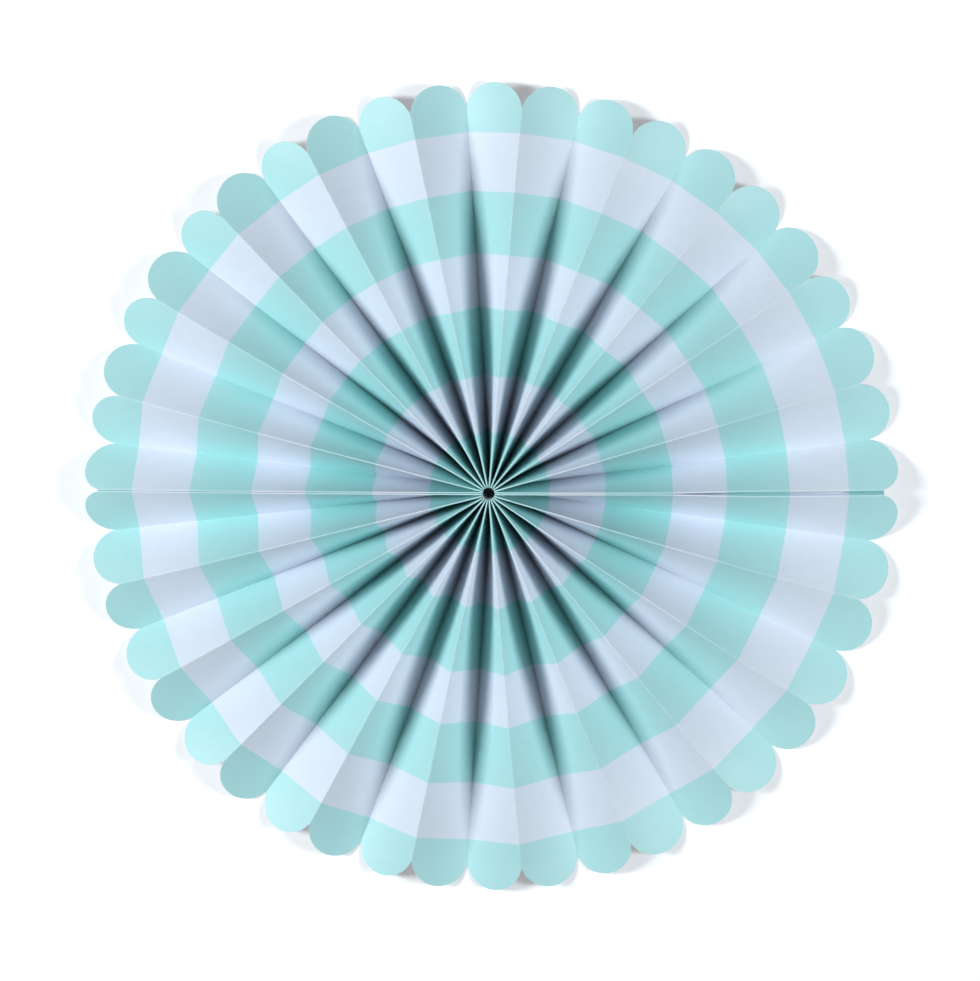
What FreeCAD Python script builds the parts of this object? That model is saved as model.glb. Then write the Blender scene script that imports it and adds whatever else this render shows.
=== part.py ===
import FreeCAD, Part
import math
import os

# A round paper fan rosette that lies on its back. Two long strips of printed paper are folded
# into equal panels like an accordion, each opened through a half turn, and stuck together at
# two seams, one at +X and one at -X. A thread through the inner ends holds the middle closed.
# +Z is the printed front and the origin is under the middle, where the valley folds lie.

document = FreeCAD.newDocument("paper_fan_rosette")

# Driving dimensions in millimetres, with angles in degrees
sizes = document.addObject("Spreadsheet::Sheet", "sizes")
driving_sizes = [
    ("tip_radius", 133.35, "middle to the petal tips, for a fan of 10.5 inches"),
    ("petal_depth", 8.0, "petal tip to the notch beside it"),
    ("petal_droop", 1.8, "fall of a crest line from the notch to the tip"),
    ("pleats_per_strip", 11, "crest to crest pleats in each half turn"),
    ("least_rise", 7.4, "height of the crest at the notch where the pleats stand widest"),
    ("opening_lean", 3.6, "how far the pleats crowd away from +X towards -X"),
    ("seam_pinch", 1.1, "how far the folds beside a seam are drawn towards it"),
    ("paper_thickness", 0.2, "printed paper of about 200 g per square metre"),
    ("crease_width", 0.25, "flat land along each fold, at the middle of the paper"),
    ("seam_trim", 1.0, "how much narrower the panel beside a seam is"),
    ("flange_width", 9.0, "glued end flange under each seam"),
    ("flange_reach", 3.4, "how far a flange runs past the notches"),
    ("tape_thickness", 0.1, "double-sided tape between two flanges"),
    ("tape_width", 5.0, "height of the tape"),
    ("tape_inset", 10.35, "tape's outer end to the notches"),
    ("tape_length", 70.0, "length of the tape"),
    ("hub_rounding", 1.4, "rounding of the inner corner of each crest"),
    ("thread_ring_radius", 4.5, "middle to the thread"),
    ("thread_depth", 5.0, "thread below the highest crest"),
    ("thread_diameter", 0.5, "binding thread"),
    ("thread_clearance", 0.15, "room round the thread in its punched holes"),
]
for row, (alias, value, note) in enumerate(driving_sizes, 1):
    sizes.set(f"A{row}", alias)
    sizes.set(f"B{row}", str(value))
    sizes.setAlias(f"B{row}", alias)
    sizes.set(f"C{row}", note)
document.recompute()

tip_radius = sizes.tip_radius
thickness = sizes.paper_thickness
crease = sizes.crease_width
last_fold = 2 * int(sizes.pleats_per_strip)
notch_radius = tip_radius - sizes.petal_depth

# Stacked round the hub, each wall of paper takes one crease width, and each seam its tape too
seam_half = (thickness + sizes.tape_thickness) / 2
hub_radius = ((last_fold + 1) * crease + 2 * seam_half) / math.pi

# The sheet is made a little too long and then cut to the petals
spare_length = 1.0
raw_radius = tip_radius + spare_length


def is_crest(fold):
    return fold % 2 == 0


def is_seam(fold):
    return fold in (0, last_fold)


def rim_angle(fold):
    """Direction of a fold at the rim, in radians. Folds 0 and last_fold are the two seams."""
    even = math.pi * fold / last_fold
    if is_seam(fold):
        return even
    lean = math.radians(sizes.opening_lean) * math.sin(even)
    pinch = math.radians(sizes.seam_pinch) * math.cos(even)
    return even + lean - pinch


def fold_line(fold):
    """The hub end and the raw rim end of a fold's centre line, seen from above."""
    if is_seam(fold):
        side = 1 if fold == 0 else -1
        offset = seam_half + crease / 2
        return [
            FreeCAD.Vector(side * math.sqrt(radius**2 - offset**2), offset, 0)
            for radius in (hub_radius, raw_radius)
        ]
    hub_angle = (seam_half + crease * (fold + 0.5)) / hub_radius
    return [
        FreeCAD.Vector(radius * math.cos(angle), radius * math.sin(angle), 0)
        for radius, angle in ((hub_radius, hub_angle), (raw_radius, rim_angle(fold)))
    ]


def share_at(radius):
    """How far along a fold's line a radius lies, from 0 at the hub to 1 at the raw rim."""
    return (radius - hub_radius) / (raw_radius - hub_radius)


def on_fold(fold, share):
    start, end = fold_line(fold)
    return start + (end - start) * share


def land_edge(fold, side, share):
    """The edge of a fold's flat land on the side -1 or +1, where +1 is counter-clockwise."""
    start, end = fold_line(fold)
    along = (end - start).normalize()
    across = FreeCAD.Vector(-along.y, along.x, 0)
    return on_fold(fold, share) + across * (side * crease / 2)


def neighbours(fold):
    return [other for other in (fold - 1, fold + 1) if 0 <= other <= last_fold]


def mean_span(fold, share):
    """Mean width, seen from above, of the panels that meet at a fold."""
    spans = []
    for other in neighbours(fold):
        side = other - fold
        spans.append((land_edge(fold, side, share) - land_edge(other, -side, share)).Length)
    return sum(spans) / len(spans)


# The widest pleat is the flattest, so its rise at the notch sets the width of every panel
crests = range(0, last_fold + 1, 2)
widest_span = max(mean_span(fold, share_at(notch_radius)) for fold in crests)
panel_width = math.hypot(sizes.least_rise, widest_span)


def corner_drop(radius):
    """How far the rounded inner end of a crest has fallen at a radius."""
    left = sizes.hub_rounding - (radius - hub_radius)
    if left <= 0:
        return 0
    return sizes.hub_rounding - math.sqrt(sizes.hub_rounding**2 - left**2)


def rise(fold, radius):
    """Height of a crest over the valleys. The panels keep their width, so it falls outwards."""
    width = panel_width - sizes.seam_trim if is_seam(fold) else panel_width
    inner = min(radius, notch_radius)
    height = math.sqrt(width**2 - mean_span(fold, share_at(inner)) ** 2)
    if radius > notch_radius:
        height -= sizes.petal_droop * (radius - notch_radius) / sizes.petal_depth
    return height - corner_drop(radius)


def section_points(radius):
    """Middle of the paper across a strip at one radius: flange, folds in turn, flange."""
    share = share_at(radius)
    points = []
    for fold in range(last_fold + 1):
        lift = thickness / 2
        if is_crest(fold):
            lift += rise(fold, radius)
        for side in (-1, 1):
            points.append(land_edge(fold, side, share) + FreeCAD.Vector(0, 0, lift))
    drop = FreeCAD.Vector(0, 0, -sizes.flange_width)
    return [points[0] + drop] + points + [points[-1] + drop]


def offsets(radius):
    """From the middle of the paper to its front at each point of a section, square to both
    faces that meet there."""
    step = 0.01
    here = section_points(radius)
    ahead = section_points(radius + step)
    outwards = [(far - near).normalize() for near, far in zip(here, ahead)]
    normals = []
    for index in range(len(here) - 1):
        along = outwards[index] + outwards[index + 1]
        normals.append(along.cross(here[index + 1] - here[index]).normalize())
    pairs = zip([normals[0]] + normals, normals + [normals[-1]])
    return [(one + two) * (thickness / 2 / (1 + one.dot(two))) for one, two in pairs]


def station_radii():
    """Where the paper's bend is stepped: on the rounded inner corners, and then closer
    together outwards, so that each step opens the widest pleat by the same angle. The last
    step is just inside the notches, because a step right at a notch would graze its corner."""
    corner_steps = 2
    opening_steps = 6
    corner = sizes.hub_rounding
    radii = [hub_radius + corner * (step / corner_steps) ** 2 for step in range(corner_steps)]
    start = hub_radius + corner
    finish = notch_radius - crease
    opening = math.acos(sizes.least_rise / panel_width)
    for step in range(opening_steps + 1):
        share = math.sin(opening * step / opening_steps) / math.sin(opening)
        radii.append(start + (finish - start) * share)
    return radii + [raw_radius]


def flat_face(points):
    return Part.Face(Part.makePolygon(points + [points[0]]))


def strip_faces(one, two):
    """Two flat facets for each step between two lines of points."""
    faces = []
    for step in range(len(one) - 1):
        faces.append(flat_face([one[step], one[step + 1], two[step]]))
        faces.append(flat_face([one[step + 1], two[step + 1], two[step]]))
    return faces


def folded_sheet():
    """One strip as a closed solid, still square at its outer end."""
    radii = station_radii()
    middles = [section_points(radius) for radius in radii]
    normals = [offsets(radius) for radius in radii]
    count = len(middles[0])

    def line(index, side):
        return [middle[index] + normal[index] * side for middle, normal in zip(middles, normals)]

    fronts = [line(index, 1) for index in range(count)]
    backs = [line(index, -1) for index in range(count)]
    faces = []
    for lines in (fronts, backs):
        for index, (one, two) in enumerate(zip(lines, lines[1:])):
            fold = (index - 1) // 2
            flange = index in (0, count - 2)
            land = index % 2 == 1
            if flange or (land and not is_crest(fold)):
                faces.append(flat_face(one + two[::-1]))
            elif is_crest(fold):
                faces += strip_faces(two, one)
            else:
                faces += strip_faces(one, two)
    for index in (0, count - 1):
        faces += strip_faces(fronts[index], backs[index])
    for end in (0, -1):
        faces += strip_faces([line[end] for line in fronts], [line[end] for line in backs])
    shell = Part.makeCompound(faces)
    shell.sewShape()
    solid = Part.Solid(shell.Shells[0])
    if solid.Volume < 0:
        solid.reverse()
    return solid


def petal_edge(one, two):
    """The scallop between two notches: a round arc on the flat panel, seen from above."""
    half_width = panel_width / 2
    flat_arc = Part.Arc(
        FreeCAD.Vector(-half_width, 0, 0),
        FreeCAD.Vector(0, sizes.petal_depth, 0),
        FreeCAD.Vector(half_width, 0, 0),
    )
    middle = (one + two) / 2
    tip = middle * (tip_radius / middle.Length)
    across = (two - one) / panel_width
    outwards = (tip - middle) / sizes.petal_depth
    seen_from_above = FreeCAD.Matrix(
        across.x, outwards.x, 0, middle.x,
        across.y, outwards.y, 0, middle.y,
        0, 0, 1, 0,
    )
    return flat_arc.toShape().transformGeometry(seen_from_above).Edges[0]


def petal_block():
    """All that the scalloped cutter leaves of one half turn, as a tall block."""
    margin = 1.0
    seam_edge = seam_half + crease
    reach = notch_radius + sizes.flange_reach
    notches = [FreeCAD.Vector(reach, seam_edge, 0)]
    notches += [on_fold(fold, share_at(notch_radius)) for fold in range(1, last_fold)]
    notches += [FreeCAD.Vector(-reach, seam_edge, 0)]
    edges = [petal_edge(one, two) for one, two in zip(notches, notches[1:])]
    corners = [
        notches[-1],
        FreeCAD.Vector(-reach, -margin, 0),
        FreeCAD.Vector(reach, -margin, 0),
        notches[0],
    ]
    for one, two in zip(corners, corners[1:]):
        edges.append(Part.makeLine(one, two))
    outline = Part.Face(Part.Wire(Part.__sortEdges__(edges)))
    outline.translate(FreeCAD.Vector(0, 0, -margin))
    return outline.extrude(FreeCAD.Vector(0, 0, panel_width + thickness + 2 * margin))


def shaped(name, shape):
    feature = document.addObject("Part::Feature", name)
    feature.Shape = shape
    return feature


def boolean(kind, name, base, tool):
    feature = document.addObject(kind, name)
    feature.Base = base
    feature.Tool = tool
    return feature


def at(x, y, z):
    return FreeCAD.Placement(FreeCAD.Vector(x, y, z), FreeCAD.Rotation())


def thread_ring(name, radius):
    """A ring on the thread's path, with six sides to its round section."""
    section = document.addObject("Part::RegularPolygon", name + "_section")
    section.Polygon = 6
    section.setExpression("Circumradius", radius)
    section.Placement = FreeCAD.Placement(
        FreeCAD.Vector(sizes.thread_ring_radius, 0, thread_height),
        FreeCAD.Rotation(FreeCAD.Vector(1, 0, 0), 90),
    )
    ring = document.addObject("Part::Revolution", name)
    ring.Source = section
    ring.Axis = FreeCAD.Vector(0, 0, 1)
    ring.Angle = 360
    ring.Solid = True
    return ring


# The upper strip: folded sheet, petals cut, thread holes punched
thread_height = panel_width + thickness - sizes.thread_depth
sheet = shaped("folded_sheet", folded_sheet())
block = shaped("petal_block", petal_block())
scalloped = boolean("Part::Common", "scalloped_sheet", sheet, block)
holes = thread_ring("thread_holes", "sizes.thread_diameter / 2 + sizes.thread_clearance")
upper_strip = boolean("Part::Cut", "upper_strip", scalloped, holes)
upper_strip.Label = "upper_pleated_strip"

# The lower strip is the upper one's mirror image
lower_strip = document.addObject("Part::Mirroring", "lower_strip")
lower_strip.Source = upper_strip
lower_strip.Normal = FreeCAD.Vector(0, 1, 0)
lower_strip.Label = "lower_pleated_strip"

# The binding thread
thread = thread_ring("thread", "sizes.thread_diameter / 2")
thread.Label = "binding_thread"


def seam_tape(name, fold):
    """Tape in the gap between the two flanges of a seam, along the middle of the flanges."""
    outer_end = notch_radius - sizes.tape_inset
    ends = [outer_end - sizes.tape_length, outer_end]
    heights = [thickness / 2 + rise(fold, end) - sizes.flange_width / 2 for end in ends]
    slope = math.degrees(math.atan2(heights[1] - heights[0], sizes.tape_length))
    tape = document.addObject("Part::Box", name)
    tape.setExpression("Length", "sizes.tape_length")
    tape.setExpression("Width", "sizes.tape_thickness")
    tape.setExpression("Height", "sizes.tape_width")
    corner = FreeCAD.Vector(0, -sizes.tape_thickness / 2, -sizes.tape_width / 2)
    lean = FreeCAD.Rotation(FreeCAD.Vector(0, 1, 0), -slope)
    turn = FreeCAD.Rotation(FreeCAD.Vector(0, 0, 1), 0 if fold == 0 else 180)
    inner_end = FreeCAD.Vector(ends[0], 0, heights[0])
    tape.Placement = FreeCAD.Placement(turn.multVec(inner_end), turn * lean) * at(*corner)
    tape.Label = name
    return tape


right_tape = seam_tape("right_seam_tape", 0)
left_tape = seam_tape("left_seam_tape", last_fold)

document.recompute()
parts = [upper_strip, lower_strip, thread, right_tape, left_tape]
for feature in document.Objects:
    if "Invalid" in feature.State or "Error" in feature.State:
        raise RuntimeError(f"{feature.Name} failed: {feature.State}")
os.makedirs("parts", exist_ok=True)
for part in parts:
    if part.Shape.isNull() or not part.Shape.isValid() or part.Shape.Volume <= 0:
        raise RuntimeError(f"{part.Label} has no sound shape")
for part in parts:
    part.Shape.exportStep(f"parts/{part.Label}.step")
    box = part.Shape.BoundBox
    print(
        f"{part.Label}: {len(part.Shape.Solids)} solid, {part.Shape.Volume:.1f} mm3,"
        f" x {box.XMin:.2f} to {box.XMax:.2f}, y {box.YMin:.2f} to {box.YMax:.2f},"
        f" z {box.ZMin:.2f} to {box.ZMax:.2f}"
    )
print(f"panel width {panel_width:.2f} mm, hub radius {hub_radius:.2f} mm")
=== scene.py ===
import math

import bpy
from mathutils import Matrix, Vector


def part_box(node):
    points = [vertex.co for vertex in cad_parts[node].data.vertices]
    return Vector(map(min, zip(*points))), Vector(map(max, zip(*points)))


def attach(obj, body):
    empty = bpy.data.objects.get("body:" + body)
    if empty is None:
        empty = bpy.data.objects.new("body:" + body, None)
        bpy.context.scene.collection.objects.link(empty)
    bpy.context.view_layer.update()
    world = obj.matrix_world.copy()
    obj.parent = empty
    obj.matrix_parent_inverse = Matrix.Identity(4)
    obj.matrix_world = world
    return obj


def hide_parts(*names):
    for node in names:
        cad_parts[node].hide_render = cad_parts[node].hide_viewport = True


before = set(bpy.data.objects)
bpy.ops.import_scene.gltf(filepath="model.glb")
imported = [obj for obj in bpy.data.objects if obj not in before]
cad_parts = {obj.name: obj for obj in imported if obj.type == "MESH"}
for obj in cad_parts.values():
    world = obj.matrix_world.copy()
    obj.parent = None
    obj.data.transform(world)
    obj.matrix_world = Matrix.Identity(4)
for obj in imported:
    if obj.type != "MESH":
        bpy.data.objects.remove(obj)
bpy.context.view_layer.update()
print("frame loaded")


# A field is a socket in a node tree that is added, scaled and compared like a number
class Field:
    def __init__(self, tree, socket):
        self.tree = tree
        self.socket = socket

    def run(self, operation, *others):
        node = self.tree.nodes.new("ShaderNodeMath")
        node.operation = operation
        for slot, value in zip(node.inputs, (self, *others)):
            plug(self.tree, slot, value)
        return Field(self.tree, node.outputs[0])

    def clamped(self, top=1.0):
        return self.run("MAXIMUM", 0.0).run("MINIMUM", top)

    def __add__(self, other):
        return self.run("ADD", other)

    def __sub__(self, other):
        return self.run("SUBTRACT", other)

    def __rsub__(self, other):
        return self.run("MULTIPLY", -1.0).run("ADD", other)

    def __mul__(self, other):
        return self.run("MULTIPLY", other)

    def __truediv__(self, other):
        return self.run("DIVIDE", other)

    def __lt__(self, other):
        return self.run("LESS_THAN", other)

    def __gt__(self, other):
        return self.run("GREATER_THAN", other)

    __radd__ = __add__
    __rmul__ = __mul__


def plug(tree, slot, value):
    if isinstance(value, Field):
        tree.links.new(value.socket, slot)
    else:
        slot.default_value = value


def addNode(tree, kind, inputs=None, **settings):
    node = tree.nodes.new(kind)
    for name, value in settings.items():
        setattr(node, name, value)
    for name, value in (inputs or {}).items():
        plug(tree, node.inputs[name], value)
    return node


def take(tree, kind, inputs=None, output=0, **settings):
    return Field(tree, addNode(tree, kind, inputs, **settings).outputs[output])


def mix(low, high, share):
    return low + (high - low) * share


def ramped(value, start, full):  # 0 up to start, 1 from full on
    return ((value - start) / (full - start)).clamped()


def newTree(name, keys):
    tree = bpy.data.node_groups.new(name, "GeometryNodeTree")
    tree.interface.new_socket("Geometry", in_out="OUTPUT", socket_type="NodeSocketGeometry")
    for key in keys:
        tree.interface.new_socket(key, in_out="INPUT", socket_type="NodeSocketFloat")
    tree.interface.new_socket("material", in_out="INPUT", socket_type="NodeSocketMaterial")
    entry = tree.nodes.new("NodeGroupInput")
    return tree, {socket.name: Field(tree, socket) for socket in entry.outputs if socket.name}


def closeTree(tree, geometry, material):
    real = take(tree, "GeometryNodeRealizeInstances", {"Geometry": geometry})
    done = take(tree, "GeometryNodeSetMaterial", {"Geometry": real, "Material": material})
    tree.links.new(done.socket, tree.nodes.new("NodeGroupOutput").inputs[0])


def bake(piece):  # what the modifiers make becomes the piece's own mesh
    graph = bpy.context.evaluated_depsgraph_get()
    piece.data = bpy.data.meshes.new_from_object(piece.evaluated_get(graph))
    piece.data.name = piece.name
    piece.modifiers.clear()


def addPiece(name, mesh=None):
    piece = bpy.data.objects.new(name, mesh or bpy.data.meshes.new(name))
    bpy.context.collection.objects.link(piece)
    return piece


def runTree(name, tree, sizes, material):
    piece = addPiece(name)
    modifier = piece.modifiers.new("rule", "NODES")
    modifier.node_group = tree
    for socket in tree.interface.items_tree:
        if socket.in_out == "INPUT":
            value = material if socket.name == "material" else float(sizes[socket.name])
            modifier[socket.identifier] = value
    bake(piece)
    return piece


def smooth(mesh):
    for face in mesh.polygons:
        face.use_smooth = True


def linear(red, green, blue):  # a screen colour of 0 to 255 as a shader colour
    def one(value):
        value = value / 255
        return value / 12.92 if value <= 0.04045 else ((value + 0.055) / 1.055) ** 2.4
    return (one(red), one(green), one(blue), 1.0)


def newMaterial(name, look):
    material = bpy.data.materials.new(name)
    material.use_nodes = True
    shader = material.node_tree.nodes["Principled BSDF"]
    shader.inputs["Roughness"].default_value = look["roughness"]
    shader.inputs["Specular IOR Level"].default_value = look["gloss"]
    return material, material.node_tree, shader


def noise(tree, scale, detail):
    place = take(tree, "ShaderNodeTexCoord", output="Object")
    return take(tree, "ShaderNodeTexNoise", {"Vector": place, "Scale": scale, "Detail": detail})


def addBump(tree, shader, height):  # the height is in metres
    bump = take(tree, "ShaderNodeBump", {"Height": height, "Strength": 1.0, "Distance": 1.0})
    tree.links.new(bump.socket, shader.inputs["Normal"])


def addMottle(tree, shader, share, look):  # the colour wanders between dark and pale
    ramp = addNode(tree, "ShaderNodeValToRGB", {"Fac": share})
    ramp.color_ramp.elements[0].color = look["dark"]
    ramp.color_ramp.elements[1].color = look["pale"]
    tree.links.new(ramp.outputs[0], shader.inputs["Base Color"])


# The pleated paper, in metres and radians
strip = {
    "tipRadius": 0.13335,
    "petalDepth": 0.008,
    "petalDroop": 0.0018,
    "panels": 22,
    "openingLean": math.radians(3.6),  # the pleats stand wider on the right
    "seamPinch": math.radians(1.1),
    "thickness": 0.0002,
    "crease": 0.00025,
    "seamTrim": 0.001,
    "flangeWidth": 0.009,
    "flangeReach": 0.0034,
    "seamHalf": 0.00015,
    "hubRounding": 0.0014,
    "foldNarrowing": 0.65,  # share of a fold's flat that is lost at the rim
    "seamFlare": 0.0006,  # the taped folds on the right gape above the tape
    "flareDepth": 0.002,
    "flareStart": 0.4,
    "flareFull": 0.65,
    "spareLength": 0.001,
    "columns": 14,
    "rows": 46,
    "cornerRows": 4,
    "warp": 0.0005,
    "warpScale": 26.0,
    "warpDetail": 1.0,
}
strip["panelWidth"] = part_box("upper_pleated_strip")[1][2] - strip["thickness"]
strip["hubRadius"] = ((strip["panels"] + 1) * strip["crease"] + 2 * strip["seamHalf"]) / math.pi
upperStrip = {**strip, "mirror": 1.0, "seed": 3.0}
lowerStrip = {**strip, "mirror": -1.0, "seed": 8.0}

stripes = {  # distance from the middle at which the print changes, from mint at the middle
    "edges": [0.0193, 0.0378, 0.0596, 0.0771, 0.0978, 0.1170],
    "mint": linear(183, 231, 231),
    "white": linear(227, 234, 245),
    # paler colour at the crests: rubbed print together with a painted highlight on the crest folds
    "wornAndHighlit": linear(232, 242, 248),
    "wearAndHighlightWidth": 0.00035,
    "wearAndHighlightShare": 0.25,
    "darkMottle": 0.975,
    "paleMottle": 1.02,
    "roughness": 0.5,
    "gloss": 0.55,
}
unprinted = {
    "dark": linear(226, 230, 234),
    "pale": linear(240, 242, 245),
    "roughness": 0.85,
    "gloss": 0.2,
}
paper = {
    "sharpAngle": math.radians(12),
    "fibreScale": 2200.0,
    "fibreDetail": 4.0,
    "fibreHeight": 0.000006,
    "waveScale": 120.0,
    "waveDetail": 2.0,
    "waveHeight": 0.00004,
    "mottleScale": 260.0,
    "mottleDetail": 3.0,
}


def paperGrain(tree, shader):  # felt-like fibres and a faint waviness
    fibres = noise(tree, paper["fibreScale"], paper["fibreDetail"])
    waves = noise(tree, paper["waveScale"], paper["waveDetail"])
    addBump(tree, shader, fibres * paper["fibreHeight"] + waves * paper["waveHeight"])
    return noise(tree, paper["mottleScale"], paper["mottleDetail"])


def printedPaper():
    material, tree, shader = newMaterial("printedPaper", stripes)
    mottle = paperGrain(tree, shader)
    onSheet = take(tree, "ShaderNodeUVMap", uv_map="UVMap")
    parts = addNode(tree, "ShaderNodeSeparateXYZ", {"Vector": onSheet})
    panelsAlong = Field(tree, parts.outputs[0]) * strip["panels"]
    fromCrest = panelsAlong.run("PINGPONG", 1.0) * strip["panelWidth"]
    ramp = addNode(tree, "ShaderNodeValToRGB", {"Fac": Field(tree, parts.outputs[1])})
    ramp.color_ramp.interpolation = "CONSTANT"
    colours = [stripes["mint"], stripes["white"]]
    ramp.color_ramp.elements[0].color = colours[0]
    ramp.color_ramp.elements.remove(ramp.color_ramp.elements[1])
    for number, edge in enumerate(stripes["edges"], 1):
        ramp.color_ramp.elements.new(edge / strip["tipRadius"]).color = colours[number % 2]
    wearAndCrestHighlight = (fromCrest < stripes["wearAndHighlightWidth"]) * mottle * stripes["wearAndHighlightShare"]  # rubbed print along the crests, paler there, partly a painted highlight on the crest folds
    colour = addNode(tree, "ShaderNodeMix", data_type="RGBA")
    tree.links.new(wearAndCrestHighlight.socket, colour.inputs["Factor"])
    tree.links.new(ramp.outputs[0], colour.inputs[6])
    colour.inputs[7].default_value = stripes["wornAndHighlit"]
    value = mix(stripes["darkMottle"], stripes["paleMottle"], mottle)
    shade = addNode(tree, "ShaderNodeHueSaturation", {"Value": value})
    tree.links.new(colour.outputs[2], shade.inputs["Color"])
    tree.links.new(shade.outputs[0], shader.inputs["Base Color"])
    return material


def plainPaper():  # the unprinted back and the cut edges
    material, tree, shader = newMaterial("plainPaper", unprinted)
    addMottle(tree, shader, paperGrain(tree, shader), unprinted)
    return material


def pleatTree(keys):
    tree, size = newTree("pleatedStrip", keys)
    panels, crease, thickness = size["panels"], size["crease"], size["thickness"]
    hub, rounding = size["hubRadius"], size["hubRounding"]
    notch = size["tipRadius"] - size["petalDepth"]
    raw = size["tipRadius"] + size["spareLength"]
    perPanel = size["columns"] + 1.0
    flangeColumns = 3.0  # the foot, the bend and the top of a seam's flange
    columnCount = panels * perPanel + 2 * flangeColumns
    rows = size["rows"]
    grid = take(tree, "GeometryNodeMeshGrid", {"Vertices X": columnCount, "Vertices Y": rows})

    # Which panel, how far across it and which row a point belongs to
    index = take(tree, "GeometryNodeInputIndex")
    column = ((index + 0.5) / rows).run("FLOOR")
    row = index - column * rows
    inside = column - flangeColumns
    panel = ((inside + 0.5) / perPanel).run("FLOOR").clamped(panels - 1.0)
    firstPanel, lastPanel = panel < 0.5, panel > panels - 1.5
    local = (inside - panel * perPanel).clamped(size["columns"])
    across = (1.0 - (local * math.pi / size["columns"]).run("COSINE")) * 0.5
    atStart = column < flangeColumns - 0.5
    atEnd = column > columnCount - flangeColumns - 0.5
    flangeFoot = (column < 0.5) + (column > columnCount - 1.5)
    flangeBend = (column < 1.5) + (column > columnCount - 2.5) - flangeFoot

    def foldLine(fold):  # hub end, run, length and rim angle of a fold, seen from above
        first, last = fold < 0.5, fold > panels - 0.5
        even = fold * math.pi / panels
        lean = size["openingLean"] * even.run("SINE") - size["seamPinch"] * even.run("COSINE")
        seamTurn = (size["seamHalf"] + crease * 0.5) / raw
        rim = even + (1.0 - first - last) * lean + (first - last) * seamTurn
        hubAngle = (size["seamHalf"] + crease * (fold + 0.5)) / hub
        hubX, hubY = hub * hubAngle.run("COSINE"), hub * hubAngle.run("SINE")
        rimX, rimY = raw * rim.run("COSINE"), raw * rim.run("SINE")
        runX, runY = rimX - hubX, rimY - hubY
        length = (runX * runX + runY * runY).run("SQRT")
        return {"x": hubX, "y": hubY, "runX": runX, "runY": runY, "length": length, "rim": rim}

    def landEdge(line, side, share):  # a point on one side of a fold's flat
        step = crease * 0.5 * side / line["length"]
        return (line["x"] + line["runX"] * share - line["runY"] * step,
                line["y"] + line["runY"] * share + line["runX"] * step)

    lines = [foldLine(panel + number) for number in (-1.0, 0.0, 1.0, 2.0)]

    # How far out the row reaches: a round petal between two notches, seen tilted
    width = size["panelWidth"]
    bow = (width * width * 0.25 + size["petalDepth"] * size["petalDepth"]) / size["petalDepth"] * 0.5
    sideways = (across - 0.5) * width
    petal = (bow * bow - sideways * sideways).run("SQRT") - bow + size["petalDepth"]
    notchOne = notch + size["flangeReach"] * firstPanel
    notchTwo = notch + size["flangeReach"] * lastPanel
    halfTurn = (lines[2]["rim"] - lines[1]["rim"]) * 0.5
    reach = size["tipRadius"] / halfTurn.run("COSINE") - (notchOne + notchTwo) * 0.5
    outer = mix(notchOne, notchTwo, across) + reach * petal / size["petalDepth"]
    corner = (row / size["cornerRows"]).run("MINIMUM", 1.0)
    beyond = ((row - size["cornerRows"]) / (rows - 1.0 - size["cornerRows"])).run("MAXIMUM", 0.0)
    inset = thickness * 0.5
    start = hub + inset + (rounding - inset) * corner * corner
    radius = start + (outer - start) * beyond

    # Panels keep their width, so a crest sinks as its pleat opens
    share = (radius - hub) / (raw - hub)
    heldShare = (radius.run("MINIMUM", notch) - hub) / (raw - hub)
    spans = []
    for one, two in zip(lines, lines[1:]):
        ax, ay = landEdge(one, 1.0, heldShare)
        bx, by = landEdge(two, -1.0, heldShare)
        spans.append(((ax - bx) * (ax - bx) + (ay - by) * (ay - by)).run("SQRT"))
    cornerLeft = (rounding - (radius - hub)).run("MAXIMUM", 0.0)
    cornerDrop = rounding - (rounding * rounding - cornerLeft * cornerLeft).run("SQRT")
    droop = size["petalDroop"] * (radius - notch).run("MAXIMUM", 0.0) / size["petalDepth"]

    def rise(fold, before, after):
        first, last = fold < 0.5, fold > panels - 0.5
        span = mix(before, after, 0.5 + first * 0.5 - last * 0.5)
        side = width - size["seamTrim"] * (first + last)
        crest = 1.0 - fold.run("MODULO", 2.0)
        return crest * ((side * side - span * span).run("SQRT") - droop - cornerDrop)

    heightOne = rise(panel, spans[0], spans[1])
    heightTwo = rise(panel + 1.0, spans[1], spans[2])

    def sharpness(fold):  # a fold's flat narrows outwards, but not at the seams
        seam = (fold < 0.5) + (fold > panels - 0.5)
        return 1.0 - size["foldNarrowing"] * share * (1.0 - seam)

    oneX, oneY = landEdge(lines[1], (1.0 - atStart * 2.0) * sharpness(panel), share)
    twoX, twoY = landEdge(lines[2], (atEnd * 2.0 - 1.0) * sharpness(panel + 1.0), share)
    flare = ramped(share, size["flareStart"], size["flareFull"])
    eased = flare * flare * (3.0 - flare * 2.0)
    gape = eased * firstPanel * (1.0 - across) * (column > flangeColumns - 1.5)
    sink = flangeFoot * size["flangeWidth"] + flangeBend * size["flareDepth"]
    height = mix(heightOne, heightTwo, across) + thickness * 0.5 - sink
    place = take(tree, "ShaderNodeCombineXYZ", {
        "X": mix(oneX, twoX, across),
        "Y": (mix(oneY, twoY, across) + gape * size["seamFlare"]) * size["mirror"],
        "Z": height,
    })
    shaped = take(tree, "GeometryNodeSetPosition", {"Geometry": grid, "Position": place})

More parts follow.
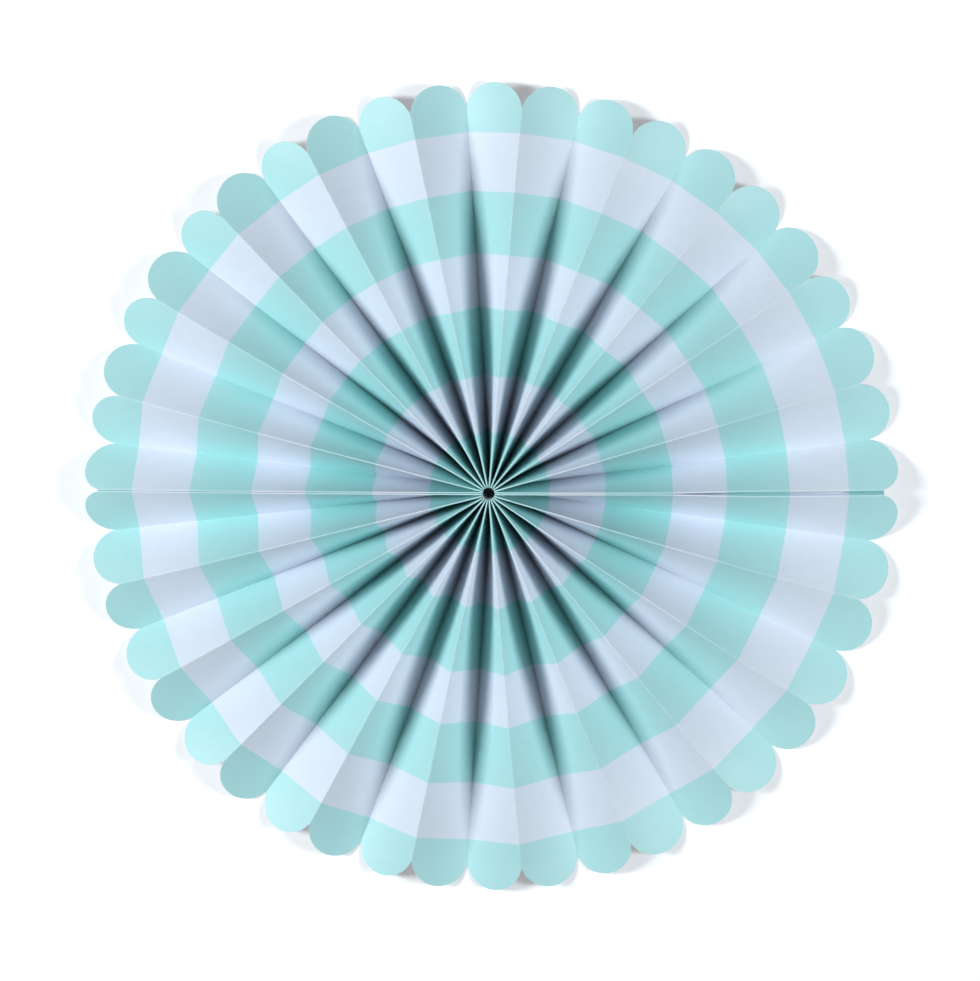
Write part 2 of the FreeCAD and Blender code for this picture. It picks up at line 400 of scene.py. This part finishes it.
    # A little cockle in the middle of each panel, none at its folds
    bumps = take(tree, "ShaderNodeTexNoise", {
        "Vector": take(tree, "GeometryNodeInputPosition"), "W": size["seed"],
        "Scale": size["warpScale"], "Detail": size["warpDetail"],
    }, noise_dimensions="4D")
    freedom = across * (1.0 - across) * 4.0 * share  # 1 in the middle of a panel's rim
    amount = (bumps - 0.5) * 2.0 * size["warp"] * freedom
    push = addNode(tree, "ShaderNodeVectorMath", operation="SCALE")
    tree.links.new(take(tree, "GeometryNodeInputNormal").socket, push.inputs[0])
    tree.links.new(amount.socket, push.inputs["Scale"])
    offset = Field(tree, push.outputs[0])
    warped = take(tree, "GeometryNodeSetPosition", {"Geometry": shaped, "Offset": offset})

    # Where a point lies on the flat sheet, for the print
    onSheet = take(tree, "ShaderNodeCombineXYZ", {
        "X": (panel + across) / panels,
        "Y": radius / size["tipRadius"],
    })
    onPoints = addNode(tree, "GeometryNodeFieldOnDomain", data_type="FLOAT_VECTOR", domain="POINT")
    tree.links.new(onSheet.socket, onPoints.inputs[0])
    mapped = addNode(tree, "GeometryNodeStoreNamedAttribute", {"Geometry": warped, "Name": "UVMap"},
                     data_type="FLOAT2", domain="CORNER")
    tree.links.new(onPoints.outputs[0], mapped.inputs["Value"])
    turned = take(tree, "GeometryNodeFlipFaces", {
        "Mesh": Field(tree, mapped.outputs[0]), "Selection": size["mirror"] > 0.0,
    })
    closeTree(tree, turned, size["material"])
    return tree


def pleatedPaper(name, node, sizes, front, back, tree):
    piece = runTree(name, tree, sizes, front)
    piece.data.materials.append(back)
    wall = piece.modifiers.new("thickness", "SOLIDIFY")
    wall.thickness = strip["thickness"]
    wall.offset = 0.0
    wall.material_offset = 1
    wall.material_offset_rim = 1
    bake(piece)
    smooth(piece.data)
    piece.data.set_sharp_from_angle(angle=paper["sharpAngle"])
    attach(piece, "root")
    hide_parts(node)


front, back = printedPaper(), plainPaper()
pleats = pleatTree(upperStrip)
pleatedPaper("upperPleatedPaper", "upper_pleated_strip", upperStrip, front, back, pleats)
pleatedPaper("lowerPleatedPaper", "lower_pleated_strip", lowerStrip, front, back, pleats)
print("pleated paper made")

thread = {
    "strands": 2,
    "strandShare": 0.46,  # of the thread's radius
    "twists": 22,
    "steps": 220,
    "sides": 6,
    "dark": linear(206, 206, 200),
    "pale": linear(238, 238, 232),
    "fuzzScale": 9000.0,
    "fuzzDetail": 3.0,
    "fuzzHeight": 0.00002,
    "roughness": 0.9,
    "gloss": 0.5,
}


def threadMaterial():
    material, tree, shader = newMaterial("bindingCotton", thread)
    fuzz = noise(tree, thread["fuzzScale"], thread["fuzzDetail"])
    addMottle(tree, shader, fuzz, thread)
    addBump(tree, shader, fuzz * thread["fuzzHeight"])
    return material


def twistedRing(name, node, material):
    low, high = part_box(node)
    level = (low[2] + high[2]) / 2
    threadRadius = (high[2] - low[2]) / 2
    ring = high[0] - threadRadius
    strandRadius = threadRadius * thread["strandShare"]
    lay = threadRadius - strandRadius
    verts, faces = [], []
    steps, sides = thread["steps"], thread["sides"]
    for strand in range(thread["strands"]):
        first = len(verts)
        for step in range(steps):
            angle = 2 * math.pi * step / steps
            twist = angle * thread["twists"] + 2 * math.pi * strand / thread["strands"]
            centre = ring + lay * math.cos(twist)
            for side in range(sides):
                turn = 2 * math.pi * side / sides
                out = centre + strandRadius * math.cos(turn)
                up = level + lay * math.sin(twist) + strandRadius * math.sin(turn)
                verts.append((out * math.cos(angle), out * math.sin(angle), up))
        for step in range(steps):
            for side in range(sides):
                nextStep, nextSide = (step + 1) % steps, (side + 1) % sides
                faces.append([first + a * sides + b for a, b in
                              ((step, side), (nextStep, side), (nextStep, nextSide), (step, nextSide))])
    mesh = bpy.data.meshes.new(name)
    mesh.from_pydata(verts, [], faces)
    mesh.materials.append(material)
    smooth(mesh)
    piece = addPiece(name, mesh)
    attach(piece, "root")
    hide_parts(node)


twistedRing("bindingCottonRing", "binding_thread", threadMaterial())

tape = {
    "dark": linear(214, 211, 196),
    "pale": linear(232, 230, 216),
    "hazeScale": 300.0,
    "hazeDetail": 2.0,
    "roughness": 0.35,
    "gloss": 0.5,
}


def tapeMaterial():
    material, tree, shader = newMaterial("seamTapeFilm", tape)
    addMottle(tree, shader, noise(tree, tape["hazeScale"], tape["hazeDetail"]), tape)
    return material


film = tapeMaterial()
for node in ("right_seam_tape", "left_seam_tape"):
    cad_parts[node].material_slots[0].material = film
print("thread and tape made")

studio = {
    "camera": Vector((0.068, 0.139, 1.5)),
    "aim": Vector((0.0, 0.0, 0.008)),
    "lens": 168.0,
    "clipStart": 0.01,
    "lamps": {  # direction and power
        "windowLamp": (math.radians(174), 15.9),
        "fillLamp": (math.radians(357), 11.3),
    },
    "lampHeight": 0.87,
    "lampReach": 1.1,
    "lampWidth": 0.3,
    "lampLength": 0.5,
    "lampColour": (0.9, 0.96, 1.0),
    "worldColour": (0.92, 0.96, 1.0, 1.0),
    "worldStrength": 0.14,
}
floor = {
    "size": 6.0,
    "colour": (0.93, 0.94, 0.95, 1.0),
    "roughness": 0.8,
    "gloss": 0.2,
    "glowColour": (1.0, 1.0, 1.0, 1.0),
    "glow": 0.25,
    "glowStart": 0.1,  # no glow shows through the middle hole
    "glowNear": 0.4,
    "glowFar": 1.2,  # from here on the floor is white however far the lamps are
}


def floorMaterial():
    material, tree, shader = newMaterial("paleFloor", floor)
    shader.inputs["Base Color"].default_value = floor["colour"]
    shader.inputs["Emission Color"].default_value = floor["glowColour"]
    seen = take(tree, "ShaderNodeLightPath", output="Is Camera Ray")
    place = addNode(tree, "ShaderNodeVectorMath", operation="LENGTH")
    tree.links.new(take(tree, "ShaderNodeTexCoord", output="Object").socket, place.inputs[0])
    away = Field(tree, place.outputs["Value"])
    far = ramped(away, floor["glowNear"], floor["glowFar"])
    glow = seen * (away > floor["glowStart"]) * mix(floor["glow"], 1.0, far)
    tree.links.new(glow.socket, shader.inputs["Emission Strength"])
    return material


def makeStudio():
    half = floor["size"] / 2
    mesh = bpy.data.meshes.new("paleFloor")
    corners = [(-half, -half, 0), (half, -half, 0), (half, half, 0), (-half, half, 0)]
    mesh.from_pydata(corners, [], [(0, 1, 2, 3)])
    mesh.materials.append(floorMaterial())
    addPiece("paleFloor", mesh)

    world = bpy.data.worlds.new("softWorld")
    world.use_nodes = True
    bpy.context.scene.world = world
    background = world.node_tree.nodes["Background"]
    background.inputs["Color"].default_value = studio["worldColour"]
    seen = take(world.node_tree, "ShaderNodeLightPath", output="Is Camera Ray")
    plug(world.node_tree, background.inputs["Strength"], mix(studio["worldStrength"], 1.0, seen))

    for name, (angle, power) in studio["lamps"].items():
        lampData = bpy.data.lights.new(name, "AREA")
        lampData.shape = "RECTANGLE"
        lampData.size = studio["lampWidth"]
        lampData.size_y = studio["lampLength"]
        lampData.energy = power
        lampData.color = studio["lampColour"]
        lamp = addPiece(name, lampData)
        reach = studio["lampReach"]
        lamp.location = (reach * math.cos(angle), reach * math.sin(angle), studio["lampHeight"])
        lamp.rotation_euler = (studio["aim"] - lamp.location).to_track_quat("-Z", "Y").to_euler()

    cameraData = bpy.data.cameras.new("camera")
    cameraData.lens = studio["lens"]
    cameraData.clip_start = studio["clipStart"]
    camera = addPiece("camera", cameraData)
    camera.location = studio["camera"]
    forward = (studio["aim"] - studio["camera"]).normalized()
    right = forward.cross(Vector((0.0, 1.0, 0.0))).normalized()  # +Y shows at the top
    up = right.cross(forward)
    camera.rotation_euler = Matrix((right, up, -forward)).transposed().to_euler()
    bpy.context.scene.camera = camera
    bpy.context.scene.view_settings.view_transform = "Standard"


makeStudio()
print("studio made")
